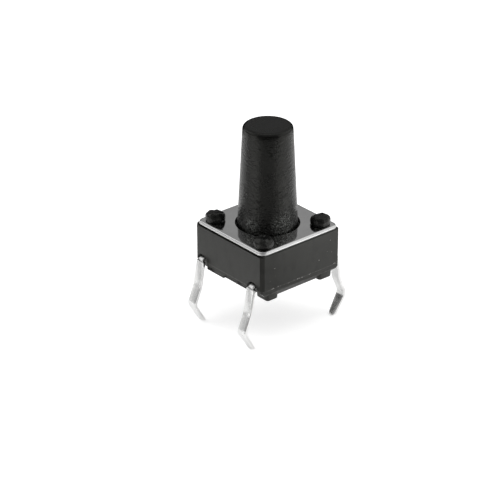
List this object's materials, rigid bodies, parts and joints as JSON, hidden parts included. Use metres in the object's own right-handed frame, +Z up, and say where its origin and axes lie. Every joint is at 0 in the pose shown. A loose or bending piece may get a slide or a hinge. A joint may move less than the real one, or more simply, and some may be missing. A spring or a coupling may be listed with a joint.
{
  "type": "tactile push button switch",
  "caption": "Square through-hole tactile push button switch with a long tapered stem, a metal cover plate and kinked solder leads.",
  "frame": {"origin": "centre of the plane in which the feet seat on the circuit board", "axes": "+Z up along the stem, +Y along the lead rows, X across them"},
  "size_m": [0.0078, 0.006, 0.0124],
  "materials": {
    "housing_plastic": "satin black moulding",
    "stem_plastic": "fine spark-eroded black moulding",
    "plate_steel": "bright rolled tin plate",
    "dome_steel": "bright spring steel",
    "tinned_lead": "satin tin plate"
  },
  "bodies": {
    "housing": {"base_housing": "housing_plastic", "cover_plate": "plate_steel", "snap_dome": "dome_steel", "centre_terminal": "tinned_lead", "rim_terminal": "tinned_lead"},
    "plunger": {"stem": "stem_plastic"}
  },
  "joints": [
    {"name": "stem_press", "type": "slide", "parent": "housing", "child": "plunger", "axis": [0, 0, -1], "range_m": [0, 0.00025], "stiffness_N_per_m": 6400, "springref_m": -0.00001, "deforming": ["snap_dome"]}
  ]
}
